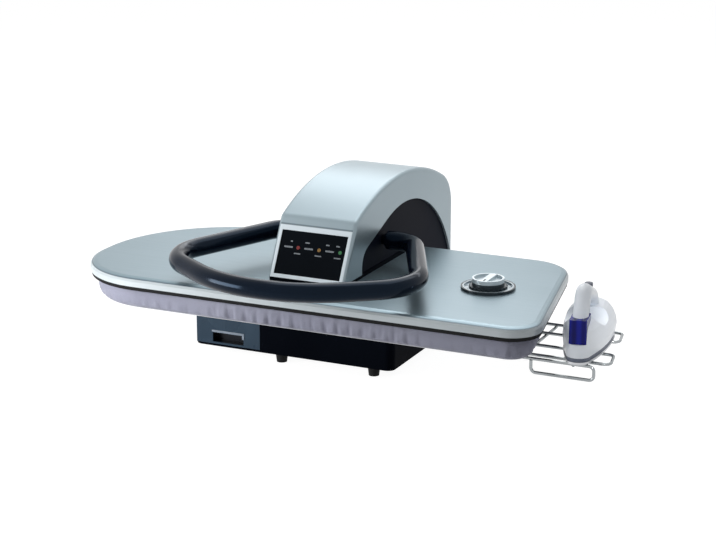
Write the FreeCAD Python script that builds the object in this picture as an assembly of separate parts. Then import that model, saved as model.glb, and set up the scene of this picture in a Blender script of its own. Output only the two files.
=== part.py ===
import FreeCAD, Part
import math
import os

Vector = FreeCAD.Vector

# Ironing board seen from above, in millimetres, centred on the lifting arm
board_left_reach = 322.0
board_right_reach = 328.0
board_depth = 300.0
right_end_rake = 59.0
nose_front_radius = 110.0
nose_back_radius = 175.0
right_front_radius = 38.0
right_back_radius = 62.0

# Base housing
foot_height = 12.0
foot_radius = 8.0
foot_sink = 3.0
base_height = 45.0
base_wall = 2.5
base_corner_radius = 10.0
base_left_reach = 146.5
base_right_reach = 128.0
base_front_reach = 108.0
base_back_reach = 125.0
front_foot_left_x = -29.0
foot_edge = 13.0
foot_right_edge = 30.0
boss_radius = 7.0
boss_edge = 34.0
chassis_sheet = 2.0
chassis_margin = 6.0

# Hinge box behind the base, and the hinge itself
hinge_box_half_width = 38.0
hinge_box_height = 30.0
hinge_back = 12.0
hinge_y = 238.0
hinge_z = 72.0
pin_radius = 5.0
pin_overhang = 1.0
bracket_sheet = 3.0
bracket_inner_half = 27.0
bracket_eye_radius = 12.0
bracket_foot = 14.0
bracket_strap = 10.0
tower_wall = 2.0
tower_radius = 17.0
tower_deck = 2.0
spring_length = 20.0
spring_wire = 2.5
clip_sheet = 1.0
clip_radius = 8.0
bush_wall = 3.0
bush_flange = 2.0
bush_flange_sheet = 1.2

# Fits shared by many pieces
running_gap = 0.05
slide_gap = 0.6
rest_gap = 0.3
loose_gap = 0.4

# Water tank drawer
tank_width = 90.0
tank_depth = 150.0
tank_height = 39.0
tank_wall = 2.0
tank_lid_sheet = 2.0
tank_front_depth = 16.0
grip_width = 44.0
grip_height = 12.5
grip_depth = 12.0
grip_low = 2.5
filler_radius = 11.0
valve_radius = 4.0
valve_length = 14.0
valve_rise = 12.0
socket_wall = 3.0
socket_length = 16.0
bay_back_gap = 16.0

# Pump, hose, electronics and inlet inside the base
pump_radius = 15.0
pump_length = 46.0
pump_head = 12.0
pump_x = 24.0
pump_setback = 48.0
pump_saddle = 3.0
hose_radius = 3.5
hose_bend = 20.0
hose_back_y = 105.0
card_width = 62.0
card_depth = 48.0
card_sheet = 1.6
card_post = 6.0
card_post_radius = 3.0
card_x = 66.0
card_y = 40.0
relay_height = 16.0
inlet_width = 28.0
inlet_height = 22.0
inlet_depth = 18.0
inlet_x = 58.0
inlet_slot_depth = 12.0
inlet_rim = 3.0

# Pad and the sheet-metal tray that carries it
tray_sheet = 2.0
tray_lip = 9.0
tray_inset = 18.0
pad_height = 28.6
cover_cloth = 1.4
hem_width = 8.0
hem_inset = 14.0
hem_rise = 5.0
side_low_inset = 7.0
side_full_inset = 5.0
side_high_inset = 6.0
shoulder_drop = 8.0
crown_edge_inset = 9.0
crown_edge_drop = 4.0
crown_mid_inset = 15.0
crown_mid_drop = 1.6
crown_flat_inset = 28.0

# Heated platen above the pad
plate_gap = 0.4
plate_thickness = 5.0
plate_inset = 6.0
cavity_height = 6.0
cover_sheet = 2.0
rim_drop = 1.0
rim_height = 6.5
shoulder_inset = 9.0
shoulder_low_drop = 2.2
shoulder_high_drop = 0.7
trim_inset = 1.5
trim_height = 5.0
trim_tongue = 3.0
steam_hole_radius = 2.0
steam_hole_pitch_x = 40.0
steam_hole_pitch_y = 40.0
steam_holes_x = 11
steam_holes_y = 5
element_radius = 3.0
element_sink = 2.0
element_bend = 28.0
element_front_y = -90.0
element_back_y = 112.0
element_left_x = -215.0
element_clear = 14.0
element_end_x = 72.0
chamber_half_x = 58.0
chamber_half_y = 34.0
chamber_wall = 2.0
spacer_radius = 7.0
insulation_inset = 9.0

# Thermostat and its dial
dial_x = 211.0
dial_y = -4.0
thermostat_radius = 15.0
dial_shaft_radius = 3.0
scale_radius = 34.0
scale_sheet = 1.2
bezel_width = 4.0
bezel_height = 3.4
knob_skirt_radius = 24.0
knob_skirt_height = 2.5
knob_drum_radius = 20.0
knob_height = 12.0
knob_gap = 0.4
knob_flutes = 24
knob_flute_radius = 1.6
knob_grip_half = 4.5
knob_grip_drop = 4.0
knob_rim = 2.5

# Lifting arm
pedestal_height = 5.0
pedestal_inset = 2.0
pedestal_wall = 5.0
arm_half_width = 53.0
arm_wall = 3.0
arm_front_y = -86.0
arm_lean = 28.0
arm_crown_y = 95.0
arm_rise = 105.0
arm_crown_radius = 320.0
arm_back_y = 262.0
arm_tail_front_y = 160.0
arm_tail_z = 62.0
arm_back_radius = 50.0
arm_front_radius = 12.0
arm_edge_radius = 5.0
recess_radius = 166.0
recess_y = 102.0
recess_z = 5.0
recess_front_y = -33.0
recess_front_z = 132.0
recess_corner = 26.0
recess_join_y = 45.0
side_lap = 5.0
side_sheet = 4.0
frame_sheet = 3.0
frame_half_width = 40.0
frame_front_y = -55.0
frame_back_y = 125.0
frame_top_z = 168.0
frame_eye_radius = 15.0
bolt_x = 25.0
bolt_front_y = -35.0
bolt_back_y = 95.0
bolt_radius = 3.0
bolt_head_radius = 5.5
bolt_head_height = 4.0
steam_hose_y = 15.0
steam_hose_back_y = 205.0
steam_hose_top_z = 140.0
steam_hose_low_z = 100.0
steam_hose_bend = 22.0

# Control panel on the front of the arm
panel_width = 91.0
panel_top_margin = 19.0
panel_margin = 4.8
panel_sheet = 3.0
panel_recess = 1.2
panel_lap = 2.2
panel_post_radius = 2.5
panel_post = 5.0
panel_card_sheet = 1.6
lamp_radius = 2.4
lamp_pitch = 29.0
lamp_offset = 9.5
lamp_height = 40.5
lamp_proud = 0.6

# Handle loop that goes round the arm
handle_radius = 12.0
handle_pivot_y = 38.0
handle_pivot_z = 135.0
handle_corner_x = 93.0
handle_bend_x = 174.5
handle_bend_y = -130.0
handle_front_x = 54.0
handle_front_y = -208.0
handle_corner_radius = 36.0
handle_bend_radius = 58.0
handle_front_radius = 180.0
handle_tilt = 1.7
hub_gap = 4.0
stud_radius = 6.0
stud_reach = 15.0
stud_collar_radius = 8.0

# Wire rack at the right end
wire_radius = 2.0
rack_drop = 5.0
clamp_width = 12.0
clamp_first_x = 236.0
clamp_pitch = 18.0
clamp_front_y = -100.0
clamp_back_y = 54.0
clamp_wall = 2.0
rear_loop_y = 24.0
front_loop_y = -62.0
loop_reach = 81.0
loop_half_width = 18.5
loop_radius = 8.0
guard_y = -95.0
guard_left_x = 302.0
guard_right_x = 380.0
guard_drop = 17.0
guard_bend = 6.0
cross_bar_xs = (284.0, 352.0)
cross_bar_overrun = 3.0
clamp_screw_radius = 2.0
clamp_screw_head_radius = 4.0
clamp_screw_head = 2.4

# Compact steam iron standing on the rack
iron_x = 353.0
iron_turn_y = -55.0
iron_turn = 10.0
iron_nose_y = -109.0
iron_heel_y = 36.0
iron_half_width = 30.0
iron_heel_curve = 22.0
iron_nose_half = 15.0
iron_nose_curve = 13.0
iron_flank_bow = 5.0
sole_height = 4.0
sole_inset = 1.5
skirt_height = 5.0
skirt_inset = 3.0
iron_body_height = 38.5
iron_body_levels = ((1.5, 0.0), (0.0, 0.28), (1.2, 0.52), (4.5, 0.76), (10.0, 0.93), (15.0, 1.0))
finger_scoop_y = -45.0
finger_scoop_z = 112.0
finger_scoop_radius = 26.0
iron_tank_half = 10.5
iron_tank_setback = 4.0
iron_tank_depth = 34.0
iron_tank_low = 16.5
iron_tank_height = 29.0
iron_tank_corner = 3.0
iron_handle_radius = 9.5
iron_handle_bend = 14.0
iron_handle_points = ((-93.0, 95.0), (-66.0, 132.5), (-12.0, 112.0), (8.0, 84.0))
button_radius = 5.0
button_y = -26.0
button_height = 13.5
button_travel = 2.5

# Heights and places that follow from the sizes above
base_bottom = foot_height
base_top = base_bottom + base_height
base_floor = base_bottom + base_wall
tray_top = base_top + tray_sheet
pad_top = tray_top + pad_height
plate_bottom = pad_top + plate_gap
plate_top = plate_bottom + plate_thickness
cavity_top = plate_top + cavity_height
platen_top = cavity_top + cover_sheet
rim_bottom = plate_bottom + rim_drop
arm_bottom = platen_top + pedestal_height
arm_top = arm_bottom + arm_rise
base_left = -base_left_reach
base_right = base_right_reach
base_front = -base_front_reach
base_back = base_back_reach
hinge_box_back = hinge_y + hinge_back
hinge_box_top = base_bottom + hinge_box_height
tank_left = base_left + base_wall + slide_gap
tank_right = tank_left + tank_width
tank_back = base_front + tank_depth
tank_bottom = base_floor + rest_gap
tank_top = tank_bottom + tank_height
tank_body_front = base_front + tank_front_depth
bay_right = tank_right + slide_gap
bay_back = tank_back + bay_back_gap
tank_middle = (tank_left + tank_right) / 2
valve_z = tank_bottom + valve_rise
chassis_top = base_floor + chassis_sheet
pump_y = base_front + pump_setback
element_right_x = dial_x + thermostat_radius + element_clear
rack_z = base_top - rack_drop - wire_radius
iron_floor = rack_z + wire_radius + rest_gap
iron_body_floor = iron_floor + sole_height + skirt_height
iron_body_top = iron_body_floor + iron_body_height
hub_inner_x = arm_half_width + hub_gap
frame_outer = frame_half_width + frame_sheet
pin_half = frame_outer + clip_sheet + pin_overhang
side_outer = arm_half_width - arm_wall
side_inner = side_outer - side_sheet


# Length of the arm's sloping front, from its foot to where it meets the crown
lean = math.radians(arm_lean)
front_from_crown = arm_front_y - arm_crown_y
foot_from_crown = arm_bottom - (arm_top - arm_crown_radius)
front_half = front_from_crown * math.sin(lean) + foot_from_crown * math.cos(lean)
front_rest = front_from_crown ** 2 + foot_from_crown ** 2 - arm_crown_radius ** 2
arm_front_length = math.sqrt(front_half ** 2 - front_rest) - front_half
panel_height = arm_front_length - panel_margin - panel_top_margin

nose_x = -board_left_reach
board_corners = [
    (Vector(nose_x, -board_depth / 2, 0), nose_front_radius),
    (Vector(board_right_reach, -board_depth / 2, 0), right_front_radius),
    (Vector(board_right_reach - right_end_rake, board_depth / 2, 0), right_back_radius),
    (Vector(nose_x, board_depth / 2, 0), nose_back_radius),
]


def loop_end_x(y):
    # The rack's loops reach the same way past the raked end of the board
    return board_right_reach - right_end_rake * (y / board_depth + 0.5) + loop_reach


# The origin is at the middle of the whole object's footprint, on the table
tilt = math.radians(handle_tilt)
handle_foremost = handle_pivot_y - (handle_pivot_y - handle_front_y) * math.cos(tilt) - handle_radius
rack_end = loop_end_x(front_loop_y - loop_half_width) + wire_radius
origin_x = (nose_x + rack_end) / 2
origin_y = (handle_foremost + arm_back_y) / 2


def box(x0, x1, y0, y1, z0, z1):
    return Part.makeBox(x1 - x0, y1 - y0, z1 - z0, Vector(x0, y0, z0))


def rod(start, end, radius):
    return Part.makeCylinder(radius, (end - start).Length, start, end - start)


def upright(x, y, low, high, radius):
    return Part.makeCylinder(radius, high - low, Vector(x, y, low))


def across(x0, x1, y, z, radius):
    return Part.makeCylinder(radius, x1 - x0, Vector(x0, y, z), Vector(1, 0, 0))


def fused(first, *others):
    return first.fuse(list(others)).removeSplitter()


def mirrored(shape):
    return shape.mirror(Vector(0, 0, 0), Vector(1, 0, 0))


def board_outline(inset, z):
    # Four rounded corners joined by straight edges, moved in by the inset
    arcs = []
    count = len(board_corners)
    for index, (corner, radius) in enumerate(board_corners):
        arriving = (corner - board_corners[index - 1][0]).normalize()
        leaving = (board_corners[(index + 1) % count][0] - corner).normalize()
        out_before = Vector(arriving.y, -arriving.x, 0)
        out_after = Vector(leaving.y, -leaving.x, 0)
        outward = (out_before + out_after).normalize()
        half_turn = out_before.getAngle(out_after) / 2
        centre = corner - outward * (radius / math.cos(half_turn)) + Vector(0, 0, z)
        inner = radius - inset
        arcs.append((centre + out_before * inner, centre + outward * inner, centre + out_after * inner))
    edges = []
    for index, (start, middle, end) in enumerate(arcs):
        edges.append(Part.Arc(start, middle, end).toShape())
        edges.append(Part.LineSegment(end, arcs[(index + 1) % count][0]).toShape())
    return Part.Wire(edges)


def slab(inset, low, high):
    return Part.Face(board_outline(inset, low)).extrude(Vector(0, 0, high - low))


def stacked(levels):
    # A solid through board outlines, each given as its inset and height
    return Part.makeLoft([board_outline(inset, z) for inset, z in levels], True, True)


def rounded_path(points, radii):
    # Straight runs joined by tangent arcs, one radius for each inner point
    edges = []
    here = points[0]
    for index, radius in enumerate(radii):
        corner = points[index + 1]
        arriving = (corner - points[index]).normalize()
        leaving = (points[index + 2] - corner).normalize()
        half_turn = arriving.getAngle(leaving) / 2
        reach = radius * math.tan(half_turn)
        start = corner - arriving * reach
        end = corner + leaving * reach
        inward = (leaving - arriving).normalize()
        middle = corner + inward * (radius / math.cos(half_turn) - radius)
        edges.append(Part.LineSegment(here, start).toShape())
        edges.append(Part.Arc(start, middle, end).toShape())
        here = end
    edges.append(Part.LineSegment(here, points[-1]).toShape())
    return Part.Wire(edges)


def tube(points, radii, radius):
    path = rounded_path(points, radii)
    ring = Part.Wire(Part.Circle(points[0], points[1] - points[0], radius).toShape())
    return path.makePipeShell([ring], True, False)


def side_plate(outline, x0, x1):
    # A flat piece given by its side outline as (y, z) pairs, from x0 to x1
    points = [Vector(x0, y, z) for y, z in outline]
    return Part.Face(Part.makePolygon(points + points[:1])).extrude(Vector(x1 - x0, 0, 0))


# Base body

def foot_places():
    left = base_left + foot_edge
    right = base_right - foot_right_edge
    front = base_front + foot_edge
    back = base_back - foot_edge
    tail_x = hinge_box_half_width - foot_edge
    tail_y = hinge_box_back - foot_edge
    return [(front_foot_left_x, front), (right, front), (left, back), (right, back),
            (-tail_x, tail_y), (tail_x, tail_y)]


def boss_places():
    left = bay_right + base_wall + boss_edge
    right = base_right - base_wall - boss_edge
    front = base_front + base_wall + boss_edge
    back = base_back - base_wall - boss_edge
    return [(left, front), (right, front), (left, back), (right, back)]


def rounded_box(x0, x1, y0, y1, z0, z1, radius):
    block = box(x0, x1, y0, y1, z0, z1)
    return block.makeFillet(radius, [e for e in block.Edges if e.tangentAt(0).z != 0])


def base_tray():
    outer = rounded_box(base_left, base_right, base_front, base_back, base_bottom, base_top,
                        base_corner_radius)
    tail = box(-hinge_box_half_width, hinge_box_half_width, base_back - base_corner_radius, hinge_box_back,
               base_bottom, hinge_box_top)
    inner = rounded_box(base_left + base_wall, base_right - base_wall, base_front + base_wall,
                        base_back - base_wall, base_floor, base_top + 1, base_corner_radius - base_wall)
    tail_room = box(-hinge_box_half_width + base_wall, hinge_box_half_width - base_wall,
                    base_back - base_corner_radius - base_wall, hinge_box_back - base_wall,
                    base_floor, hinge_box_top)
    tray = fused(outer, tail).cut(inner).cut(tail_room)
    tray = tray.cut(box(-hinge_box_half_width + base_wall, hinge_box_half_width - base_wall,
                        base_back, hinge_box_back - base_wall, base_floor, hinge_box_top + 1))
    # Walls of the tank bay, which is open to the front
    bay = fused(box(bay_right, bay_right + base_wall, base_front, bay_back + base_wall, base_floor, base_top),
                box(base_left + base_wall, bay_right, bay_back, bay_back + base_wall, base_floor, base_top))
    tray = fused(tray, bay)
    tray = tray.cut(box(base_left + base_wall, bay_right, base_front - 1, base_front + base_corner_radius,
                        base_floor, base_top + 1))
    for x, y in boss_places():
        tray = fused(tray, upright(x, y, base_floor, base_top, boss_radius))
        tray = tray.cut(upright(x, y, base_bottom - 1, base_top + 1, clamp_screw_radius + loose_gap))
        tray = tray.cut(upright(x, y, base_bottom - 1, base_bottom + clamp_screw_head,
                                clamp_screw_head_radius + loose_gap))
    for x, y in foot_places():
        tray = tray.cut(upright(x, y, base_bottom - 1, base_bottom + foot_sink / 2, foot_radius))
    tray = tray.cut(inlet_block(0))
    socket_radius = valve_radius + slide_gap + socket_wall
    middle = Vector(tank_middle, 0, valve_z)
    return tray.cut(rod(middle + Vector(0, bay_back - 1, 0),
                        middle + Vector(0, bay_back + base_wall + 1, 0), socket_radius))


def feet():
    pads = []
    for x, y in foot_places():
        top = base_bottom + foot_sink / 2
        cone = Part.makeCone(foot_radius - foot_sink / 2, foot_radius, foot_height, Vector(x, y, 0))
        pads.append(cone.fuse(upright(x, y, foot_height, top, foot_radius)).removeSplitter())
    return Part.makeCompound(pads)


def base_screws():
    screws = []
    for x, y in boss_places():
        head = upright(x, y, base_bottom, base_bottom + clamp_screw_head, clamp_screw_head_radius)
        screws.append(fused(head, upright(x, y, base_bottom, tray_top, clamp_screw_radius)))
    return Part.makeCompound(screws)


def chassis_plate():
    left = bay_right + base_wall + chassis_margin
    right = base_right - base_wall - chassis_margin
    front = base_front + base_wall + chassis_margin
    back = base_back - base_wall - chassis_margin
    tail = hinge_box_half_width - base_wall - slide_gap
    plate = fused(box(left, right, front, back, base_floor, chassis_top),
                  box(-tail, tail, back - chassis_margin, hinge_box_back - base_wall - slide_gap,
                      base_floor, chassis_top))
    for x, y in boss_places():
        plate = plate.cut(upright(x, y, base_floor - 1, chassis_top + 1, boss_radius + loose_gap))
    return plate


def hinge_bracket():
    # The bracket on the right; the left one is its mirror image
    inner = bracket_inner_half
    outer = inner + bracket_sheet
    front = hinge_y - bracket_eye_radius
    web = box(inner, outer, front, front + bracket_strap, chassis_top, hinge_z)
    foot = box(inner - bracket_foot, inner, front - bracket_foot, front + bracket_strap, chassis_top,
               chassis_top + bracket_sheet)
    eye = across(inner, outer, hinge_y, hinge_z, bracket_eye_radius)
    return fused(web, foot, eye).cut(across(inner - 1, outer + 1, hinge_y, hinge_z, pin_radius))


def hinge_cover():
    # Deck over the hinge box, with a rounded tower round the brackets
    half = hinge_box_half_width
    front = base_back
    deck = box(-half, half, front, hinge_box_back, hinge_box_top, hinge_box_top + tower_deck)
    tower_half = bracket_inner_half + bracket_sheet + slide_gap + tower_wall
    body = fused(box(-tower_half, tower_half, hinge_y - tower_radius, hinge_y + tower_wall,
                     hinge_box_top, hinge_z),
                 across(-tower_half, tower_half, hinge_y, hinge_z, tower_radius))
    room_half = tower_half - tower_wall
    room_radius = tower_radius - tower_wall
    room = fused(box(-room_half, room_half, hinge_y - room_radius, hinge_y, hinge_box_top - 1, hinge_z),
                 across(-room_half, room_half, hinge_y, hinge_z, room_radius))
    cover = fused(deck, body).cut(room)
    return cover.cut(across(-tower_half - 1, tower_half + 1, hinge_y, hinge_z, pin_radius + loose_gap))


def hinge_pin():
    return across(-pin_half, pin_half, hinge_y, hinge_z, pin_radius)


def pin_clips():
    ring = across(frame_outer + running_gap, frame_outer + clip_sheet, hinge_y, hinge_z, clip_radius)
    ring = ring.cut(across(frame_outer, frame_outer + clip_sheet + 1, hinge_y, hinge_z, pin_radius))
    return Part.makeCompound([ring, mirrored(ring)])


def lift_springs():
    start = bracket_inner_half - spring_length
    sleeve = across(start, bracket_inner_half, hinge_y, hinge_z, pin_radius + spring_wire)
    sleeve = sleeve.cut(across(start - 1, bracket_inner_half + 1, hinge_y, hinge_z, pin_radius))
    return Part.makeCompound([sleeve, mirrored(sleeve)])


def pump():
    z = chassis_top + pump_saddle + pump_radius
    y0 = pump_y - pump_length / 2
    y1 = pump_y + pump_length / 2
    motor = rod(Vector(pump_x, y0, z), Vector(pump_x, y1, z), pump_radius)
    head = box(pump_x - pump_radius, pump_x + pump_radius, y1, y1 + pump_head,
               z - pump_radius, z + pump_radius)
    saddle = box(pump_x - pump_radius, pump_x + pump_radius, y0 + pump_saddle, y1 - pump_saddle,
                 chassis_top, z)
    return fused(motor, head, saddle)


def water_hose():
    start = Vector(tank_middle, bay_back + base_wall + socket_length / 2, valve_z)
    pump_end = pump_y + pump_length / 2 + pump_head
    points = [start, Vector(tank_middle, hose_back_y, valve_z), Vector(pump_x, hose_back_y, valve_z),
              Vector(pump_x, pump_end, valve_z)]
    return tube(points, [hose_bend, hose_bend], hose_radius)


def tank_socket():
    outer = valve_radius + slide_gap + socket_wall
    middle = Vector(tank_middle, 0, valve_z)
    back = bay_back + base_wall + socket_length / 2
    front = back - socket_length
    body = rod(middle + Vector(0, front, 0), middle + Vector(0, back, 0), outer)
    bore_end = bay_back + base_wall
    return body.cut(rod(middle + Vector(0, front - 1, 0), middle + Vector(0, bore_end, 0),
                        valve_radius + slide_gap))


def control_board():
    low = chassis_top + card_post
    card = box(card_x - card_width / 2, card_x + card_width / 2, card_y - card_depth / 2,
               card_y + card_depth / 2, low, low + card_sheet)
    pieces = []
    for sx in (-1, 1):
        for sy in (-1, 1):
            x = card_x + sx * (card_width / 2 - 2 * card_post_radius)
            y = card_y + sy * (card_depth / 2 - 2 * card_post_radius)
            pieces.append(upright(x, y, chassis_top, low, card_post_radius))
    relay = box(card_x, card_x + relay_height, card_y, card_y + relay_height, low,
                low + card_sheet + relay_height)
    pieces.append(relay)
    return fused(card, *pieces)


def inlet_block(grow):
    z = (base_floor + base_top) / 2
    return box(inlet_x - inlet_width / 2 - grow, inlet_x + inlet_width / 2 + grow, base_back - inlet_depth,
               base_back, z - inlet_height / 2 - grow, z + inlet_height / 2 + grow)


def power_inlet():
    z = (base_floor + base_top) / 2
    rim = box(inlet_x - inlet_width / 2 - inlet_rim, inlet_x + inlet_width / 2 + inlet_rim, base_back,
              base_back + base_wall, z - inlet_height / 2 - inlet_rim, z + inlet_height / 2 + inlet_rim)
    socket = box(inlet_x - inlet_width / 2 + inlet_rim, inlet_x + inlet_width / 2 - inlet_rim,
                 base_back + base_wall - inlet_slot_depth, base_back + base_wall,
                 z - inlet_height / 2 + inlet_rim, z + inlet_height / 2 - inlet_rim)
    return fused(inlet_block(0), rim).cut(socket)


# Pad, its cover and the tray under them

def tray_block():
    return slab(tray_inset, base_top, tray_top + tray_lip)


def board_tray():
    tray = tray_block().cut(slab(tray_inset + tray_sheet, tray_top, tray_top + tray_lip + 1))
    for x, y in boss_places():
        tray = tray.cut(upright(x, y, base_top - 1, tray_top + 1, clamp_screw_radius))
    return tray


def pad_form(inset, top_drop, bottom):
    # Drawn in at the hem, full at mid height, then crowned towards the middle
    top = pad_top - top_drop
    mid = (bottom + top) / 2
    return stacked([(hem_inset + inset, bottom), (side_low_inset + inset, bottom + hem_rise),
                    (side_full_inset + inset, mid), (side_high_inset + inset, top - shoulder_drop),
                    (crown_edge_inset + inset, top - crown_edge_drop),
                    (crown_mid_inset + inset, top - crown_mid_drop), (crown_flat_inset + inset, top)])


def foam_pad():
    foam = pad_form(cover_cloth, cover_cloth, base_top)
    above = slab(0, tray_top, pad_top)
    return foam.common(above).cut(tray_block().cut(slab(tray_inset + tray_sheet, tray_top, pad_top)))


def pad_cover():
    hem_bottom = base_top - cover_cloth
    outer = pad_form(0, 0, hem_bottom)
    filling = pad_form(cover_cloth, cover_cloth, base_top)
    opening = slab(hem_inset + hem_width, hem_bottom - 1, base_top + 1)
    return outer.cut(filling).cut(opening)


# Wire rack

def rack_loop(y):
    front = y - loop_half_width
    back = y + loop_half_width
    points = [Vector(clamp_first_x, front, rack_z), Vector(loop_end_x(front), front, rack_z),
              Vector(loop_end_x(back), back, rack_z), Vector(clamp_first_x, back, rack_z)]
    return tube(points, [loop_radius, loop_radius], wire_radius)


def rack_guard():
    low = rack_z - guard_drop
    points = [Vector(clamp_first_x, guard_y, rack_z), Vector(guard_right_x, guard_y, rack_z),
              Vector(guard_right_x, guard_y, low), Vector(guard_left_x, guard_y, low),
              Vector(guard_left_x, guard_y, rack_z - wire_radius)]
    return tube(points, [guard_bend] * 3, wire_radius)


def wire_rows():
    rows = [guard_y]
    for y in (front_loop_y, rear_loop_y):
        rows += [y - loop_half_width, y + loop_half_width]
    return rows


def rack_cross_bars():
    z = rack_z - 2 * wire_radius
    bars = []
    for x in cross_bar_xs:
        start = Vector(x, guard_y + 2 * wire_radius + cross_bar_overrun, z)
        end = Vector(x, rear_loop_y + loop_half_width + cross_bar_overrun, z)
        bars.append(rod(start, end, wire_radius))
    return Part.makeCompound(bars)


def clamp_xs():
    return [clamp_first_x + clamp_pitch * index for index in range(2)]


def clamp_screw_ys():
    return [(front_loop_y + rear_loop_y) / 2, (guard_y + front_loop_y - loop_half_width) / 2]


def rack_clamps():
    bars = []
    for x in clamp_xs():
        low = rack_z - wire_radius - clamp_wall
        bar = box(x, x + clamp_width, clamp_front_y, clamp_back_y, low, base_top)
        for y in wire_rows():
            bar = bar.cut(across(x - 1, x + clamp_width + 1, y, rack_z, wire_radius))
        for y in clamp_screw_ys():
            bar = bar.cut(upright(x + clamp_width / 2, y, 0, base_top + 1, clamp_screw_radius))
        bars.append(bar)
    return Part.makeCompound(bars)


def rack_screws():
    low = rack_z - wire_radius - clamp_wall
    screws = []
    for x in clamp_xs():
        for y in clamp_screw_ys():
            shank = upright(x + clamp_width / 2, y, low - clamp_screw_head, base_top, clamp_screw_radius)
            head = upright(x + clamp_width / 2, y, low - clamp_screw_head, low, clamp_screw_head_radius)
            screws.append(fused(shank, head))
    return Part.makeCompound(screws)


# Water tank drawer

def tank_body():
    body = box(tank_left, tank_right, tank_body_front, tank_back, tank_bottom, tank_top - tank_lid_sheet)
    room = box(tank_left + tank_wall, tank_right - tank_wall, tank_body_front + tank_wall,
               tank_back - tank_wall, tank_bottom + tank_wall, tank_top)
    middle = Vector(tank_middle, 0, valve_z)
    return body.cut(room).cut(rod(middle + Vector(0, tank_back - tank_wall - 1, 0),
                                  middle + Vector(0, tank_back + 1, 0), valve_radius))


def tank_lid():
    lid = box(tank_left, tank_right, tank_body_front, tank_back, tank_top - tank_lid_sheet, tank_top)
    filler_y = tank_body_front + 2.5 * filler_radius
    return lid.cut(upright(tank_middle, filler_y, tank_bottom, tank_top + 1, filler_radius))


def tank_front():
    front = box(tank_left, tank_right, base_front, tank_body_front, tank_bottom, tank_top)
    low = tank_bottom + grip_low
    grip = box(tank_middle - grip_width / 2, tank_middle + grip_width / 2, base_front - 1,
               base_front + grip_depth, low, low + grip_height)
    return front.cut(grip)


def tank_valve():
    middle = Vector(tank_middle, 0, valve_z)
    return rod(middle + Vector(0, tank_back - tank_wall, 0), middle + Vector(0, tank_back + valve_length, 0),
               valve_radius)


# Heated platen

def bolt_places():
    return [(sx * bolt_x, y) for sx in (-1, 1) for y in (bolt_front_y, bolt_back_y)]


def element_tube(radius):
    z = plate_top + element_radius - element_sink
    points = [Vector(element_end_x, element_front_y, z), Vector(element_right_x, element_front_y, z),
              Vector(element_right_x, element_back_y, z), Vector(element_left_x, element_back_y, z),
              Vector(element_left_x, element_front_y, z), Vector(-element_end_x, element_front_y, z)]
    return tube(points, [element_bend] * 4, radius)


def heating_plate():
    plate = slab(plate_inset, plate_bottom, plate_top).cut(element_tube(element_radius))
    holes = []
    for row in range(steam_holes_y):
        for column in range(steam_holes_x):
            x = (column - (steam_holes_x - 1) / 2) * steam_hole_pitch_x
            y = (row - (steam_holes_y - 1) / 2) * steam_hole_pitch_y
            holes.append(upright(x, y, plate_bottom - 1, plate_top + 1, steam_hole_radius))
    plate = plate.cut(holes)
    return plate.cut([upright(x, y, plate_bottom + 1, plate_top + 1, bolt_radius) for x, y in bolt_places()])


def steam_chamber():
    chamber = box(-chamber_half_x, chamber_half_x, -chamber_half_y, chamber_half_y, plate_top, cavity_top)
    room = box(-chamber_half_x + chamber_wall, chamber_half_x - chamber_wall, -chamber_half_y + chamber_wall,
               chamber_half_y - chamber_wall, plate_top - 1, cavity_top - chamber_wall)
    for x, y in bolt_places():
        chamber = chamber.cut(upright(x, y, plate_top - 1, cavity_top + 1, spacer_radius + loose_gap))
    return chamber.cut(room).cut(upright(0, steam_hose_y, plate_top, cavity_top + 1, hose_radius))


def platen_spacers():
    posts = []
    for x, y in bolt_places():
        post = upright(x, y, plate_top, cavity_top, spacer_radius)
        posts.append(post.cut(upright(x, y, plate_top - 1, cavity_top + 1, bolt_radius)))
    return Part.makeCompound(posts)


def insulation():
    layer = slab(insulation_inset, plate_top, cavity_top)
    layer = layer.cut(element_tube(element_radius + loose_gap))
    room_x = chamber_half_x + loose_gap
    room_y = chamber_half_y + loose_gap
    layer = layer.cut(box(-room_x, room_x, -room_y, room_y, plate_top - 1, cavity_top + 1))
    layer = layer.cut(upright(dial_x, dial_y, plate_top - 1, cavity_top + 1, thermostat_radius + loose_gap))
    for x, y in bolt_places():
        layer = layer.cut(upright(x, y, plate_top - 1, cavity_top + 1, spacer_radius + loose_gap))
    return Part.makeCompound(layer.Solids)


def platen_cover():
    shell = stacked([(0, rim_bottom), (0, rim_bottom + rim_height),
                     (0.22 * shoulder_inset, platen_top - shoulder_low_drop),
                     (0.55 * shoulder_inset, platen_top - shoulder_high_drop), (shoulder_inset, platen_top)])
    shell = shell.cut(slab(cover_sheet, rim_bottom - 1, cavity_top - cover_sheet))
    shell = shell.cut(slab(insulation_inset - loose_gap, rim_bottom - 1, cavity_top))
    for x, y in bolt_places():
        shell = shell.cut(upright(x, y, cavity_top - 1, platen_top + 1, bolt_radius + loose_gap))
    shell = shell.cut(upright(0, steam_hose_y, cavity_top - 1, platen_top + 1, hose_radius + loose_gap))
    return shell.cut(upright(dial_x, dial_y, cavity_top - 1, platen_top + 1, dial_shaft_radius + loose_gap))


def platen_trim():
    # Black seal under the rim, with a tongue between the cover and the plate
    inner = plate_inset - rest_gap
    low = rim_bottom - trim_height
    tongue = slab(cover_sheet + rest_gap, low, rim_bottom + trim_tongue)
    ring = fused(slab(trim_inset, low, rim_bottom), tongue)
    return ring.cut(slab(inner, low - 1, rim_bottom + trim_tongue + 1))


def thermostat():
    body = upright(dial_x, dial_y, plate_top, cavity_top, thermostat_radius)
    return body.cut(upright(dial_x, dial_y, plate_top + chamber_wall, cavity_top + 1,
                            dial_shaft_radius + running_gap))


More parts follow.
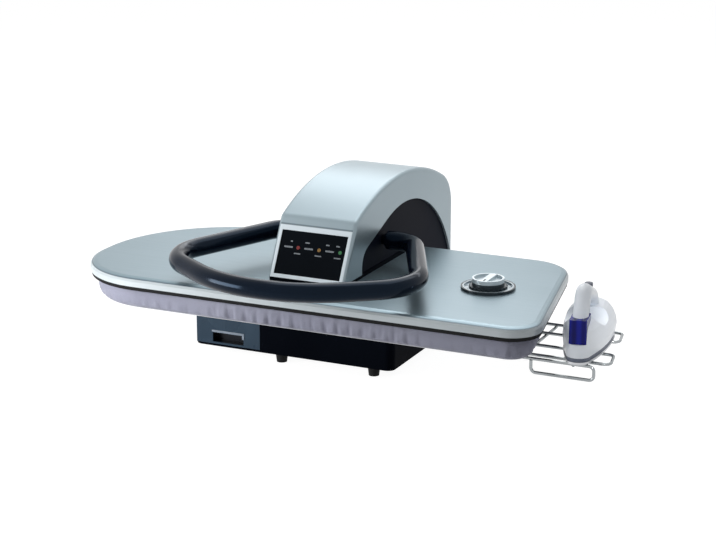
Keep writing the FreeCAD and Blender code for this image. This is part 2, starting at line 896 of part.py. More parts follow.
def dial_scale():
    # Flat scale with a raised bezel round it
    disc = upright(dial_x, dial_y, platen_top, platen_top + bezel_height, scale_radius)
    disc = disc.cut(upright(dial_x, dial_y, platen_top + scale_sheet, platen_top + bezel_height + 1,
                            scale_radius - bezel_width))
    return disc.cut(upright(dial_x, dial_y, platen_top - 1, platen_top + scale_sheet + 1,
                            dial_shaft_radius + loose_gap))


def dial_knob():
    low = platen_top + scale_sheet + knob_gap
    skirt = upright(dial_x, dial_y, low, low + knob_skirt_height, knob_skirt_radius)
    drum = upright(dial_x, dial_y, low, low + knob_height, knob_drum_radius)
    shaft = upright(dial_x, dial_y, plate_top + 2 * chamber_wall, low, dial_shaft_radius)
    flutes = []
    for index in range(knob_flutes):
        turn = 2 * math.pi * index / knob_flutes
        x = dial_x + knob_skirt_radius * math.cos(turn)
        y = dial_y + knob_skirt_radius * math.sin(turn)
        flutes.append(upright(x, y, low - 1, low + knob_skirt_height + 1, knob_flute_radius))
    knob = fused(skirt.cut(flutes), drum)
    # The finger bar is left standing between two lowered halves
    lowered = upright(dial_x, dial_y, low + knob_height - knob_grip_drop, low + knob_height + 1,
                      knob_drum_radius - knob_rim)
    bar = box(dial_x - knob_grip_half, dial_x + knob_grip_half, dial_y - knob_drum_radius,
              dial_y + knob_drum_radius, low, low + knob_height + 1)
    return fused(knob.cut(lowered.cut(bar)), shaft)


# Lifting arm

def arm_block(shrink, bottom_drop):
    # Solid of the arm's outside, or of its inside when shrunk and dropped
    low = arm_bottom - bottom_drop
    high = arm_top + arm_wall
    half = arm_half_width - shrink
    front = arm_front_y + shrink / math.cos(lean)
    back = arm_back_y - shrink
    tail_front = arm_tail_front_y - bottom_drop
    tail_low = arm_tail_z - bottom_drop
    outline = [(front - bottom_drop * math.tan(lean), low), (tail_front, low), (tail_front, tail_low),
               (back, tail_low), (back, high), (front + (high - arm_bottom) * math.tan(lean), high)]
    block = side_plate(outline, -half, half)
    block = block.common(across(-half - 1, half + 1, arm_crown_y, arm_top - arm_crown_radius,
                                arm_crown_radius - shrink))
    ridges = [e for e in block.Edges if abs(e.tangentAt(e.FirstParameter).x) > 0.99
              and e.CenterOfMass.z > arm_bottom + arm_rise / 4]
    back_edges = [e for e in ridges if e.CenterOfMass.y > arm_crown_y]
    front_edges = [e for e in ridges if e.CenterOfMass.y <= arm_crown_y]
    block = block.makeFillet(arm_back_radius - shrink, back_edges)
    front_edges = [e for e in block.Edges if abs(e.tangentAt(e.FirstParameter).x) > 0.99
                   and abs(e.CenterOfMass.y - front_edges[0].CenterOfMass.y) < 0.01
                   and abs(e.CenterOfMass.z - front_edges[0].CenterOfMass.z) < 0.01]
    block = block.makeFillet(arm_front_radius - shrink, front_edges)
    rims = [e for e in block.Edges if abs(abs(e.CenterOfMass.x) - half) < 0.01
            and rim_edge(e, low, tail_front, tail_low)]
    return block.makeFillet(arm_edge_radius - shrink, rims)


def rim_edge(edge, low, tail_front, tail_low):
    # Whether an edge of the arm's side runs along its front, crown or back
    middle = edge.CenterOfMass
    on_floor = abs(middle.z - low) < 0.01 or abs(middle.z - tail_low) < 0.01
    return not on_floor and abs(middle.y - tail_front) > 0.01


def recess_room(grow, x0, x1):
    # Room of the arm's side recess: a wide arch with a squarer front shoulder
    radius = recess_radius + grow
    arch = across(x0, x1, recess_y, recess_z, radius)
    front = recess_front_y - grow
    top = recess_front_z + grow
    join_z = recess_z + math.sqrt(radius ** 2 - (recess_join_y - recess_y) ** 2)
    outline = [(front, recess_z), (front, top), (recess_join_y, join_z), (recess_join_y, recess_z)]
    shoulder = side_plate(outline, x0, x1)
    corner = [e for e in shoulder.Edges if abs(e.CenterOfMass.y - front) < 0.01
              and abs(e.CenterOfMass.z - top) < 0.01]
    return fused(arch, shoulder.makeFillet(recess_corner + grow, corner))


def on_panel(shape):
    # From the panel's own axes, with y into the arm and z up its slope
    shape.rotate(Vector(0, 0, 0), Vector(1, 0, 0), -arm_lean)
    shape.translate(Vector(0, arm_front_y, arm_bottom))
    return shape


def panel_box(width, height, y0, y1):
    middle = panel_margin + panel_height / 2
    return box(-width / 2, width / 2, y0, y1, middle - height / 2, middle + height / 2)


def arm_cover():
    cover = arm_block(0, 0).cut(arm_block(arm_wall, 1))
    wall_room = recess_room(0, side_outer - 0.5, arm_half_width + 1)
    cover = cover.cut([wall_room, mirrored(wall_room)])
    return cover.cut(on_panel(panel_box(panel_width, panel_height, -1, 2 * arm_wall)))


def arm_side():
    # The dark panel inside the right-hand recess; the left one mirrors it
    layer = box(side_inner, side_outer, arm_front_y, arm_back_y, arm_tail_z, arm_top)
    side = arm_block(arm_wall + loose_gap, 0).common(layer)
    side = side.common(recess_room(side_lap, side_inner, side_outer))
    return side.cut(across(side_inner - 1, side_outer + 1, handle_pivot_y, handle_pivot_z,
                           stud_radius + loose_gap))


def arm_pedestal():
    outer = arm_half_width - pedestal_inset
    back = board_depth / 2 - pedestal_inset
    front = arm_front_y + pedestal_inset
    ring = box(-outer, outer, front, back, platen_top, arm_bottom)
    return ring.cut(box(-outer + pedestal_wall, outer - pedestal_wall, front + pedestal_wall,
                        back - pedestal_wall, platen_top - 1, arm_bottom + 1))


def arm_frame():
    # Two cheeks from the hinge forward, on a floor plate bolted to the platen
    low = platen_top
    eye = frame_eye_radius
    cheek = side_plate([(frame_front_y, low), (frame_back_y, low), (arm_tail_front_y + arm_wall, low + eye),
                        (hinge_y - eye, hinge_z), (hinge_y + eye, hinge_z), (hinge_y, hinge_z + 4 * eye),
                        (arm_crown_y, frame_top_z), (handle_pivot_y - 2 * eye, frame_top_z)],
                       frame_half_width, frame_outer)
    cheek = fused(cheek, across(frame_half_width, frame_outer, hinge_y, hinge_z, eye))
    bush_radius = pin_radius + running_gap + bush_wall
    cheek = cheek.cut(across(frame_half_width - 1, frame_outer + 1, hinge_y, hinge_z, bush_radius))
    floor = box(-frame_half_width, frame_half_width, frame_front_y, frame_back_y, low, low + frame_sheet)
    frame = fused(floor, cheek, mirrored(cheek))
    for x, y in bolt_places():
        frame = frame.cut(upright(x, y, low - 1, low + frame_sheet + 1, bolt_radius + loose_gap))
    return frame.cut(upright(0, steam_hose_y, low - 1, low + frame_sheet + 1, hose_radius + loose_gap))


def hinge_bushes():
    outer = pin_radius + running_gap + bush_wall
    start = frame_half_width - bush_flange_sheet
    sleeve = fused(across(start, frame_outer, hinge_y, hinge_z, outer),
                   across(start, frame_half_width, hinge_y, hinge_z, outer + bush_flange))
    sleeve = sleeve.cut(across(0, arm_half_width, hinge_y, hinge_z, pin_radius + running_gap))
    return Part.makeCompound([sleeve, mirrored(sleeve)])


def arm_bolts():
    top = platen_top + frame_sheet
    bolts = []
    for x, y in bolt_places():
        shank = upright(x, y, plate_bottom + 1, top, bolt_radius)
        bolts.append(fused(shank, upright(x, y, top, top + bolt_head_height, bolt_head_radius)))
    return Part.makeCompound(bolts)


def steam_hose():
    points = [Vector(0, steam_hose_y, cavity_top - chamber_wall), Vector(0, steam_hose_y, steam_hose_top_z),
              Vector(0, steam_hose_back_y, steam_hose_top_z), Vector(0, steam_hose_back_y, steam_hose_low_z)]
    return tube(points, [steam_hose_bend, steam_hose_bend], hose_radius)


def handle_studs():
    # Each stud ends blind in the handle's end, and its collar keeps the handle off the arm
    shank = across(frame_outer, hub_inner_x + stud_reach, handle_pivot_y, handle_pivot_z, stud_radius)
    collar = across(hub_inner_x - hub_gap, hub_inner_x, handle_pivot_y, handle_pivot_z, stud_collar_radius)
    stud = fused(shank, collar)
    return Part.makeCompound([stud, mirrored(stud)])


def lamp_places():
    return [(lamp_offset + index * lamp_pitch, lamp_height) for index in (-1, 0, 1)]


def panel_face():
    back = panel_recess + panel_sheet
    face = fused(panel_box(panel_width - 2 * rest_gap, panel_height - 2 * rest_gap, panel_recess, arm_wall),
                 panel_box(panel_width + 2 * panel_lap, panel_height + 2 * panel_lap, arm_wall, back))
    posts = []
    for sx in (-1, 1):
        for z in (panel_margin + panel_lap, panel_margin + panel_height - panel_lap):
            x = sx * (panel_width / 2 - panel_lap)
            posts.append(rod(Vector(x, back, z), Vector(x, back + panel_post, z), panel_post_radius))
    face = fused(face, *posts)
    for x, z in lamp_places():
        face = face.cut(rod(Vector(x, 0, z), Vector(x, back + 1, z), lamp_radius))
    return on_panel(face)


def lamp(index):
    x, z = lamp_places()[index]
    start = panel_recess - lamp_proud
    end = panel_recess + panel_sheet + panel_post
    return on_panel(rod(Vector(x, start, z), Vector(x, end, z), lamp_radius))


def panel_board():
    near = panel_recess + panel_sheet + panel_post
    return on_panel(panel_box(panel_width, panel_height, near, near + panel_card_sheet))


# Handle loop

def handle_loop():
    end = Vector(hub_inner_x, handle_pivot_y, handle_pivot_z)
    corner = Vector(handle_corner_x, handle_pivot_y, handle_pivot_z)
    bend = Vector(handle_bend_x, handle_bend_y, handle_pivot_z)
    front = Vector(handle_front_x, handle_front_y, handle_pivot_z)
    # One tube, with each end turned in towards the arm
    right = [end, corner, bend, front]
    left = [Vector(-point.x, point.y, point.z) for point in reversed(right)]
    bends = [handle_corner_radius, handle_bend_radius, handle_front_radius]
    loop = tube(right + left, bends + bends[::-1], handle_radius)
    loop.rotate(Vector(0, handle_pivot_y, handle_pivot_z), Vector(1, 0, 0), handle_tilt)
    bore = across(0, hub_inner_x + stud_reach + slide_gap, handle_pivot_y, handle_pivot_z,
                  stud_radius + running_gap)
    return loop.cut([bore, mirrored(bore)])


# Steam iron

def iron_outline(inset, z):
    # Blunt nose to the front, two bowed flanks and a wide round heel, moved in by the inset
    half = iron_half_width - inset
    nose_half = iron_nose_half - inset / 2
    nose = iron_nose_y + inset
    heel = iron_heel_y - inset
    nose_end = nose + iron_nose_curve
    heel_start = heel - iron_heel_curve
    flank = (half + nose_half) / 2 + iron_flank_bow
    flank_y = (nose_end + heel_start) / 2
    nose_left = Vector(iron_x - nose_half, nose_end, z)
    nose_right = Vector(iron_x + nose_half, nose_end, z)
    heel_left = Vector(iron_x - half, heel_start, z)
    heel_right = Vector(iron_x + half, heel_start, z)
    return Part.Wire([
        Part.Arc(nose_left, Vector(iron_x, nose, z), nose_right).toShape(),
        Part.Arc(nose_right, Vector(iron_x + flank, flank_y, z), heel_right).toShape(),
        Part.Arc(heel_right, Vector(iron_x, heel, z), heel_left).toShape(),
        Part.Arc(heel_left, Vector(iron_x - flank, flank_y, z), nose_left).toShape(),
    ])


def iron_layers(levels):
    return Part.makeLoft([iron_outline(inset, z) for inset, z in levels], True, True)


def iron_soleplate():
    return iron_layers([(2 * sole_inset, iron_floor), (sole_inset, iron_floor + sole_inset),
                        (sole_inset, iron_floor + sole_height)])


def iron_skirt():
    low = iron_floor + sole_height
    return iron_layers([(skirt_inset, low), (skirt_inset, low + skirt_height)])


def iron_tank_block(front):
    low = iron_body_floor + iron_tank_low
    back = iron_nose_y + iron_tank_setback + iron_tank_depth
    return rounded_box(iron_x - iron_tank_half, iron_x + iron_tank_half, front, back,
                       low, low + iron_tank_height, iron_tank_corner)


def iron_tank():
    return iron_tank_block(iron_nose_y + iron_tank_setback)


def iron_body_block():
    # Each level is an inset and a share of the body's height
    block = iron_layers([(inset, iron_body_floor + share * iron_body_height)
                         for inset, share in iron_body_levels])
    # Room for the fingers under the handle
    reach = 2 * iron_half_width
    return block.cut(across(iron_x - reach, iron_x + reach, finger_scoop_y, finger_scoop_z,
                            finger_scoop_radius))


def iron_body():
    # The tank's seat is open at the nose, so the tank shows
    return iron_body_block().cut(iron_tank_block(iron_nose_y - iron_tank_setback))


def button_seat():
    (y0, z0), (y1, z1) = iron_handle_points[1:3]
    return z0 + (z1 - z0) * (button_y - y0) / (y1 - y0)


def iron_handle():
    points = [Vector(iron_x, y, z) for y, z in iron_handle_points]
    handle = tube(points, [iron_handle_bend, iron_handle_bend], iron_handle_radius)
    handle = handle.cut([iron_body_block(), iron_tank()])
    seat = button_seat()
    return handle.cut(upright(iron_x, button_y, seat - button_travel, seat + 3 * iron_handle_radius,
                              button_radius + rest_gap))


def iron_button():
    seat = button_seat()
    return upright(iron_x, button_y, seat + rest_gap, seat + button_height, button_radius)


def turned(shape):
    # The iron stands turned, along the raked end of the board
    shape.rotate(Vector(iron_x, iron_turn_y, 0), Vector(0, 0, 1), iron_turn)
    return shape


def main():
    right_bracket = hinge_bracket()
    right_side = arm_side()
    nodes = {
        "base_tray": base_tray(),
        "feet": feet(),
        "base_screws": base_screws(),
        "chassis_plate": chassis_plate(),
        "hinge_bracket_right": right_bracket,
        "hinge_bracket_left": mirrored(right_bracket),
        "hinge_cover": hinge_cover(),
        "hinge_pin": hinge_pin(),
        "pin_clips": pin_clips(),
        "lift_springs": lift_springs(),
        "pump": pump(),
        "water_hose": water_hose(),
        "tank_socket": tank_socket(),
        "control_board": control_board(),
        "power_inlet": power_inlet(),
        "board_tray": board_tray(),
        "foam_pad": foam_pad(),
        "pad_cover": pad_cover(),
        "rack_rear_loop": rack_loop(rear_loop_y),
        "rack_front_loop": rack_loop(front_loop_y),
        "rack_guard": rack_guard(),
        "rack_cross_bars": rack_cross_bars(),
        "rack_clamps": rack_clamps(),
        "rack_screws": rack_screws(),
        "tank_body": tank_body(),
        "tank_lid": tank_lid(),
        "tank_front": tank_front(),
        "tank_valve": tank_valve(),
        "platen_cover": platen_cover(),
        "platen_trim": platen_trim(),
        "heating_plate": heating_plate(),
        "heating_element": element_tube(element_radius),
        "steam_chamber": steam_chamber(),
        "platen_spacers": platen_spacers(),
        "insulation": insulation(),
        "thermostat": thermostat(),
        "dial_scale": dial_scale(),
        "dial_knob": dial_knob(),
        "arm_cover": arm_cover(),
        "arm_side_right": right_side,
        "arm_side_left": mirrored(right_side),
        "arm_pedestal": arm_pedestal(),
        "arm_frame": arm_frame(),
        "hinge_bushes": hinge_bushes(),
        "arm_bolts": arm_bolts(),
        "steam_hose": steam_hose(),
        "handle_studs": handle_studs(),
        "panel_face": panel_face(),
        "panel_board": panel_board(),
        "lamp_red": lamp(0),
        "lamp_amber": lamp(1),
        "lamp_green": lamp(2),
        "handle_loop": handle_loop(),
        "iron_soleplate": turned(iron_soleplate()),
        "iron_skirt": turned(iron_skirt()),
        "iron_body": turned(iron_body()),
        "iron_tank": turned(iron_tank()),
        "iron_handle": turned(iron_handle()),
        "iron_button": turned(iron_button()),
    }
    os.makedirs("parts", exist_ok=True)
    for name, shape in nodes.items():
        shape.translate(Vector(-origin_x, -origin_y, 0))
        print(name, "solids", len(shape.Solids), "valid", shape.isValid(), "volume", round(shape.Volume))
        shape.exportStep("parts/" + name + ".step")
    print("origin offset", round(origin_x, 3), round(origin_y, 3))
    print("press hinge", hinge_y - origin_y, hinge_z)
    print("handle pivot", handle_pivot_y - origin_y, handle_pivot_z)
    print("dial axis", dial_x - origin_x, dial_y - origin_y)


main()
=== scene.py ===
import math
import bpy
from mathutils import Matrix, Vector, kdtree, noise


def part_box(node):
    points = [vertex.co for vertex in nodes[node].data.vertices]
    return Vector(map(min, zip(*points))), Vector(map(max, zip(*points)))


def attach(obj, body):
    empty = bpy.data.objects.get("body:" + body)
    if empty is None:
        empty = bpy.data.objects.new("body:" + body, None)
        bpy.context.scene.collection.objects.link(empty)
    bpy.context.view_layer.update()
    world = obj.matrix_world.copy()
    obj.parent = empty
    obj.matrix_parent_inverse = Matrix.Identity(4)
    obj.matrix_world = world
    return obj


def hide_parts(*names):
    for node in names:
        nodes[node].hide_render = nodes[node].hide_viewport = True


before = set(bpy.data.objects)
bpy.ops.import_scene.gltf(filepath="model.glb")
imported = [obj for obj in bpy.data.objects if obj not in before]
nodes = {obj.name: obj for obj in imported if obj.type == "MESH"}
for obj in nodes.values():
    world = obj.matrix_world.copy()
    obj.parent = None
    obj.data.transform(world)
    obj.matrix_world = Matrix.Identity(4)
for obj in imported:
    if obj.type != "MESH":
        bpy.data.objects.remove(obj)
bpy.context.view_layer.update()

scene = bpy.context.scene
print("frame loaded", len(nodes), "nodes")


# shader sockets as plain expressions
class Wire:
    def __init__(self, tree, socket=None):
        self.tree = tree
        self.socket = socket

    def node(self, kind, settings=None, sockets=None, out=0):
        made = self.tree.nodes.new(kind)
        for key, value in (settings or {}).items():
            setattr(made, key, value)
        for key, value in (sockets or {}).items():
            if isinstance(value, Wire):
                self.tree.links.new(value.socket, made.inputs[key])
            else:
                made.inputs[key].default_value = value
        return Wire(self.tree, made.outputs[out])

    def maths(self, operation, first, second=0.0):
        return self.node("ShaderNodeMath", {"operation": operation}, {0: first, 1: second})

    def __add__(self, other):
        return self.maths("ADD", self, other)

    def __sub__(self, other):
        return self.maths("SUBTRACT", self, other)

    def __rsub__(self, other):
        return self.maths("SUBTRACT", other, self)

    def __mul__(self, other):
        return self.maths("MULTIPLY", self, other)

    __radd__ = __add__
    __rmul__ = __mul__

    def wave(self):
        return self.maths("SINE", self)

    def root(self):
        return self.maths("SQRT", self)

    def atLeast(self, other):
        return self.maths("MAXIMUM", self, other)

    def above(self, edge, soft):
        return self.node("ShaderNodeMapRange", {"interpolation_type": "SMOOTHSTEP"},
                         {0: self, 1: edge - soft, 2: edge + soft, 3: 0.0, 4: 1.0})

    def noise(self, scale, detail=2.0, roughness=0.5):
        return self.node("ShaderNodeTexNoise", {}, {
            "Vector": self, "Scale": scale, "Detail": detail, "Roughness": roughness})

    def axes(self):
        return [self.node("ShaderNodeSeparateXYZ", {}, {0: self}, out=index) for index in range(3)]

    def blend(self, first, second):
        return self.node("ShaderNodeMix", {"data_type": "RGBA"},
                         {0: self, 6: first, 7: second}, out=2)

    def bump(self, strength, distance):
        return self.node("ShaderNodeBump", {}, {
            "Height": self, "Strength": strength, "Distance": distance})

    def into(self, shader, name):
        self.tree.links.new(self.socket, shader.inputs[name])


def newFinish(name, look):
    material = bpy.data.materials.new(name)
    material.use_nodes = True
    tree = material.node_tree
    shader = tree.nodes["Principled BSDF"]
    for socket, value in look.get("fixed", {}).items():
        shader.inputs[socket].default_value = value
    place = Wire(tree).node("ShaderNodeTexCoord", out="Object")
    return material, shader, place


def rgba(red, green, blue):
    return (red, green, blue, 1.0)


def middleOf(name):
    low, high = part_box(name)
    return (Vector(low) + Vector(high)) / 2


def reachOf(name, way):
    return max(way.dot(vertex.co) for vertex in nodes[name].data.vertices)


# shared by the moulded and painted skins
skin = {"driftDetail": 3.0, "grainDetail": 2.0, "grainRough": 0.6,
        "toneMiddle": 0.5, "toneSoft": 0.25}


def driftTone(place, look):
    # slow colour drift between two tones
    drift = place.noise(look["driftScale"], skin["driftDetail"])
    mask = drift.above(skin["toneMiddle"], skin["toneSoft"])
    return drift, mask.blend(rgba(*look["dark"]), rgba(*look["light"]))


def fineGrain(place, look):
    return place.noise(look["grainScale"], skin["grainDetail"], skin["grainRough"])


def addGrain(shader, place, drift, look):
    # fine grain in the gloss and in the surface
    grain = fineGrain(place, look)
    gloss = grain * look["roughSpread"] + drift * look["roughSpread"] + look["rough"]
    gloss.into(shader, "Roughness")
    grain.bump(look["bump"], look["bumpDepth"]).into(shader, "Normal")


def grainedFinish(name, look):
    # moulded, painted or plated skins
    material, shader, place = newFinish(name, look)
    drift, tone = driftTone(place, look)
    tone.into(shader, "Base Color")
    addGrain(shader, place, drift, look)
    return material


def brushedFinish(name, look):
    # rolled sheet: long faint streaks along the board; the rim below a fine groove is painted
    # paler as a painted highlight, and the groove is a dark line of painted shade
    material, shader, place = newFinish(name, look)
    stretched = place.node("ShaderNodeMapping", {}, {"Vector": place, "Scale": look["stretch"]})
    streak = stretched.noise(1.0, look["streakDetail"], look["streakRough"])
    drift = place.noise(look["driftScale"], skin["driftDetail"])
    mask = streak * look["streakShare"] + drift * look["driftShare"]
    mask = mask.above(look["toneMiddle"], look["toneSoft"])
    tone = mask.blend(rgba(*look["dark"]), rgba(*look["light"]))
    height = place.axes()[2]
    # painted highlight: the rim band is paler where its rounded edge catches the light
    rim = 1 - height.above(look["rimTop"], look["rimSoft"])
    tone = rim.blend(tone, rgba(*look["rim"]))
    # painted shade: a dark line along the groove
    lowSoft, highSoft = look["grooveSoft"]
    groove = height.above(look["rimTop"], lowSoft)
    groove = groove - height.above(look["rimTop"] + look["groove"], highSoft)
    tone = (groove * look["grooveShadeDepth"]).blend(tone, rgba(*look["grooveShadeTone"]))
    tone.into(shader, "Base Color")
    (look["metal"] - rim * look["rimDulls"]).into(shader, "Metallic")
    gloss = streak * look["roughSpread"] + drift * look["driftRough"] + look["rough"]
    gloss.into(shader, "Roughness")
    streak.bump(look["bump"], look["bumpDepth"]).into(shader, "Normal")
    return material


# fine rings on the dial's turned faces
turned = {"ringPitch": 0.0009, "driftScale": 30.0, "driftShade": 0.5, "ringShade": 0.12,
          "shadeDepth": 0.35, "shadeTone": (0.02, 0.025, 0.03), "edgeSoft": 0.0003,
          "capSoft": 0.0004, "ringRough": 0.03, "driftRough": 0.08,
          "bump": 0.05, "bumpDepth": 0.0001}


def turnedFinish(name, look):
    # rings round the dial's axis, with a darker band outside that is painted shade, or a brighter
    # cap on top that is a painted highlight
    material, shader, place = newFinish(name, look)
    x, y, z = place.axes()
    middle = middleOf("dial_knob")
    offX, offY = x - middle.x, y - middle.y
    radius = (offX * offX + offY * offY).root()
    rings = (radius * (2 * math.pi / turned["ringPitch"])).wave()
    drift = place.noise(turned["driftScale"], skin["driftDetail"])
    shade = drift * turned["driftShade"] + rings * turned["ringShade"]
    tone = rgba(*look["inside"])
    # painted shade: the dark band outside the scale's edge
    if "outside" in look:
        band = radius.above(look["edge"], turned["edgeSoft"])
        tone = band.blend(tone, rgba(*look["outside"]))
    # painted highlight: the bright cap at the knob's top
    if "cap" in look:
        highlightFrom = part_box("dial_knob")[1][2] - look["capDeep"]
        tone = z.above(highlightFrom, turned["capSoft"]).blend(tone, rgba(*look["cap"]))
    tone = (shade * turned["shadeDepth"]).blend(tone, rgba(*turned["shadeTone"]))
    tone.into(shader, "Base Color")
    gloss = rings * turned["ringRough"] + drift * turned["driftRough"] + look["rough"]
    gloss.into(shader, "Roughness")
    rings.bump(turned["bump"], turned["bumpDepth"]).into(shader, "Normal")
    return material


# the arm's sloped front: the way out of it and the way up it
slope = math.radians(28.0)
panelOut = Vector((0, -math.cos(slope), math.sin(slope)))
panelUp = Vector((0, math.sin(slope), math.cos(slope)))


def framedFinish(name, look):
    # painted cover: its sloped front is painted brighter as a painted highlight, up to a fine dark
    # line of painted shade above the panel
    material, shader, place = newFinish(name, look)
    y, z = place.axes()[1:]
    outward = y * panelOut.y + z * panelOut.z
    upward = y * panelUp.y + z * panelUp.z
    front = outward.above(reachOf("arm_cover", panelOut) - look["edge"], look["edgeSoft"])
    top = reachOf("panel_face", panelUp) + look["frameAbove"]
    over = upward.above(top, look["lineSoft"])
    shadeLine = front * (over - upward.above(top + look["lineWide"], look["lineSoft"]))
    drift, tone = driftTone(place, look)
    # painted highlight on the sloped front
    tone = (front * (1 - over)).blend(tone, rgba(*look["frame"]))
    # painted shade along the fine dark line
    tone = (shadeLine * look["lineShadeDepth"]).blend(tone, rgba(*look["lineShadeTone"]))
    tone.into(shader, "Base Color")
    addGrain(shader, place, drift, look)
    return material


def recessedFinish(name, look):
    # tinted drawer front with painted shade that darkens it with depth inside the finger recess
    material, shader, place = newFinish(name, look)
    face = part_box("tank_front")[0][1]
    # painted shade, darker deeper in the finger recess
    depth = place.axes()[1].above(face + look["depth"], look["depth"])
    drift, tone = driftTone(place, look)
    depth.blend(tone, rgba(*look["recessShade"])).into(shader, "Base Color")
    (drift * look["roughSpread"] + look["rough"]).into(shader, "Roughness")
    fineGrain(place, look).bump(look["bump"], look["bumpDepth"]).into(shader, "Normal")
    return material


def stripedFinish(name, look):
    # clear blue tank: upright bands of painted highlight and painted shade across its turned
    # front, standing for light and shade on its ribs
    material, shader, place = newFinish(name, look)
    x, y = place.axes()[:2]
    turn = math.radians(look["turn"])
    across = x * math.cos(turn) + y * math.sin(turn)
    # painted highlight and painted shade of the ribs
    band = (across * (2 * math.pi / look["pitch"]) + look["shift"]).wave()
    drift = place.noise(look["driftScale"])
    mask = band * look["bandShare"] + drift * look["driftShare"] + look["toneBase"]
    mask = mask.above(look["toneMiddle"], look["toneSoft"])
    mask.blend(rgba(*look["dark"]), rgba(*look["light"])).into(shader, "Base Color")
    (drift * look["roughSpread"] + look["rough"]).into(shader, "Roughness")
    return material


def clothFinish(name, look):
    # woven cover, with painted shade in the folds
    material, shader, place = newFinish(name, look)
    tree = material.node_tree
    across, up = Wire(tree).node("ShaderNodeUVMap", {"uv_map": "cloth"}).axes()[:2]
    thread = 2 * math.pi / look["thread"]
    weave = (across * thread).wave() * (up * thread).wave()
    drift = place.noise(look["driftScale"], look["driftDetail"])
    fuzz = place.noise(look["fuzzScale"], look["fuzzDetail"], look["fuzzRough"])
    fold = Wire(tree).node("ShaderNodeAttribute", {"attribute_name": "fold"}, out="Fac")
    mask = drift.above(look["toneMiddle"], look["toneSoft"])
    tone = mask.blend(rgba(*look["dark"]), rgba(*look["light"]))
    shade = weave * look["weaveShade"] + fuzz * look["fuzzShade"] + look["shadeBase"]
    # painted shade in the fold hollows
    shade = shade + (1 - fold) * look["paintedFoldShade"]
    shade.blend(tone, rgba(*look["shade"])).into(shader, "Base Color")
    (fuzz * look["roughSpread"] + look["rough"]).into(shader, "Roughness")
    height = weave * look["weaveHeight"] + fuzz
    height.bump(look["bump"], look["bumpDepth"]).into(shader, "Normal")
    return material


